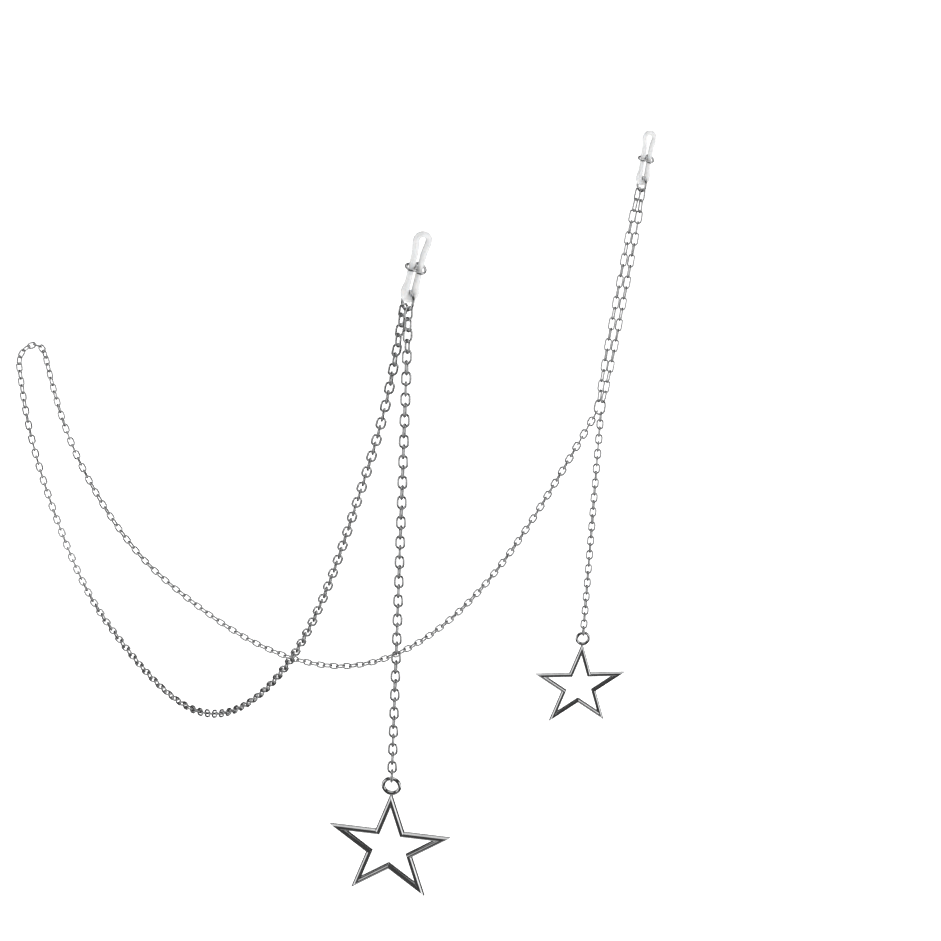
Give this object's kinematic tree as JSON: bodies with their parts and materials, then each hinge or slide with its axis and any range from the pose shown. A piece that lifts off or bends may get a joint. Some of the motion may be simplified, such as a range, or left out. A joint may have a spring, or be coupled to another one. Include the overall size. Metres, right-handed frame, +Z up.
{
  "type": "eyeglasses chain strap",
  "caption": "Fine metal neck chain for eyeglasses with silicone temple loops, wire sliders, jump rings and short drop chains that carry open star pendants.",
  "frame": {"origin": "centre of the bend that rests behind the neck", "axes": "+Z up, -Y towards the glasses, +X from the near temple loop towards the far one"},
  "size_m": [0.1569, 0.2075, 0.1863],
  "materials": {
    "silicone": "translucent milky silicone",
    "chain_wire": "bright silver plate",
    "ring_wire": "bright silver plate",
    "slider_wire": "bright silver plate",
    "star_metal": "dark polished silver plate"
  },
  "bodies": {
    "support": {"near_silicone_loop": "silicone", "far_silicone_loop": "silicone", "neck_bend": "chain_wire"},
    "near_slider": {"near_slider": "slider_wire"},
    "far_slider": {"far_slider": "slider_wire"},
    "near_jump_ring": {"near_jump_ring": "ring_wire"},
    "far_jump_ring": {"far_jump_ring": "ring_wire"},
    "near_strand": {"near_strand_1": "chain_wire", "near_strand_2": "chain_wire", "near_strand_3": "chain_wire", "near_strand_4": "chain_wire", "near_strand_5": "chain_wire", "near_strand_6": "chain_wire"},
    "far_strand": {"far_pair_left": "chain_wire", "far_pair_right": "chain_wire", "far_join_ring": "ring_wire", "far_strand_1": "chain_wire", "far_strand_2": "chain_wire", "far_strand_3": "chain_wire", "far_strand_4": "chain_wire", "far_strand_5": "chain_wire"},
    "near_drop_1": {"near_drop_1": "chain_wire"},
    "near_drop_2": {"near_drop_2": "chain_wire"},
    "near_drop_3": {"near_drop_3": "chain_wire"},
    "near_drop_4": {"near_drop_4": "chain_wire"},
    "near_drop_5": {"near_drop_5": "chain_wire"},
    "near_star": {"near_star": "star_metal"},
    "far_drop_1": {"far_drop_1": "chain_wire"},
    "far_drop_2": {"far_drop_2": "chain_wire"},
    "far_drop_3": {"far_drop_3": "chain_wire"},
    "far_drop_4": {"far_drop_4": "chain_wire"},
    "far_star": {"far_star": "star_metal"}
  },
  "joints": [
    {"name": "near_strand_swing", "type": "hinge", "parent": "support", "child": "near_strand", "pos_m": [-0.11347, -0.18981, 0.07577], "axis": [0.4665, 0.8223, -0.3259], "range_deg": [-25, 25]},
    {"name": "far_strand_swing", "type": "hinge", "parent": "support", "child": "far_strand", "pos_m": [0.03084, -0.19021, 0.07894], "axis": [-0.1251, 0.9154, -0.3826], "range_deg": [-14, 14]},
    {"name": "near_slider_slide", "type": "slide", "parent": "support", "child": "near_slider", "axis": [0.0811, -0.1821, 0.9799], "range_m": [-0.0029, 0.0032]},
    {"name": "near_jump_ring_spin", "type": "hinge", "parent": "support", "child": "near_jump_ring", "pos_m": [-0.11384, -0.19086, 0.07694], "axis": [0.8594, -0.4852, -0.1613], "continuous": true},
    {"name": "far_slider_slide", "type": "slide", "parent": "support", "child": "far_slider", "axis": [0.0354, -0.0796, 0.9962], "range_m": [-0.0029, 0.0032]},
    {"name": "far_jump_ring_spin", "type": "hinge", "parent": "far_strand", "child": "far_jump_ring", "pos_m": [0.03077, -0.19006, 0.07697], "axis": [0.8077, -0.5848, -0.0755], "continuous": true},
    {"name": "near_drop_1_swing", "type": "hinge", "parent": "support", "child": "near_drop_1", "pos_m": [-0.11442, -0.19143, 0.07555], "axis": [0.4955, 0.8686, 0], "range_deg": [-25, 25]},
    {"name": "near_drop_2_swing", "type": "hinge", "parent": "near_drop_1", "child": "near_drop_2", "pos_m": [-0.11442, -0.19143, 0.05215], "axis": [-0.9508, -0.3099, 0], "range_deg": [-35, 35]},
    {"name": "near_drop_3_swing", "type": "hinge", "parent": "near_drop_2", "child": "near_drop_3", "pos_m": [-0.11442, -0.19143, 0.03109], "axis": [0.2924, -0.9563, 0], "range_deg": [-35, 35]},
    {"name": "near_drop_4_swing", "type": "hinge", "parent": "near_drop_3", "child": "near_drop_4", "pos_m": [-0.11442, -0.19143, 0.00769], "axis": [0.2924, -0.9563, 0], "range_deg": [-35, 35]},
    {"name": "near_drop_5_swing", "type": "hinge", "parent": "near_drop_4", "child": "near_drop_5", "pos_m": [-0.11442, -0.19143, -0.01337], "axis": [-0.9563, -0.2924, 0], "range_deg": [-35, 35]},
    {"name": "near_star_swing", "type": "hinge", "parent": "near_drop_5", "child": "near_star", "pos_m": [-0.11442, -0.19143, -0.03677], "axis": [-0.9563, -0.2924, 0], "range_deg": [-40, 40]},
    {"name": "far_drop_1_swing", "type": "hinge", "parent": "far_strand", "child": "far_drop_1", "pos_m": [0.03009, -0.18368, 0.00843], "axis": [-0.1357, 0.9907, 0], "range_deg": [-25, 25]},
    {"name": "far_drop_2_swing", "type": "hinge", "parent": "far_drop_1", "child": "far_drop_2", "pos_m": [0.03009, -0.18368, -0.01029], "axis": [0.4665, -0.8845, 0], "range_deg": [-35, 35]},
    {"name": "far_drop_3_swing", "type": "hinge", "parent": "far_drop_2", "child": "far_drop_3", "pos_m": [0.03009, -0.18368, -0.02901], "axis": [0.5446, -0.8387, 0], "range_deg": [-35, 35]},
    {"name": "far_drop_4_swing", "type": "hinge", "parent": "far_drop_3", "child": "far_drop_4", "pos_m": [0.03009, -0.18368, -0.04539], "axis": [0.8387, 0.5446, 0], "range_deg": [-35, 35]},
    {"name": "far_star_swing", "type": "hinge", "parent": "far_drop_4", "child": "far_star", "pos_m": [0.03009, -0.18368, -0.06411], "axis": [0.8387, 0.5446, 0], "range_deg": [-40, 40]}
  ]
}
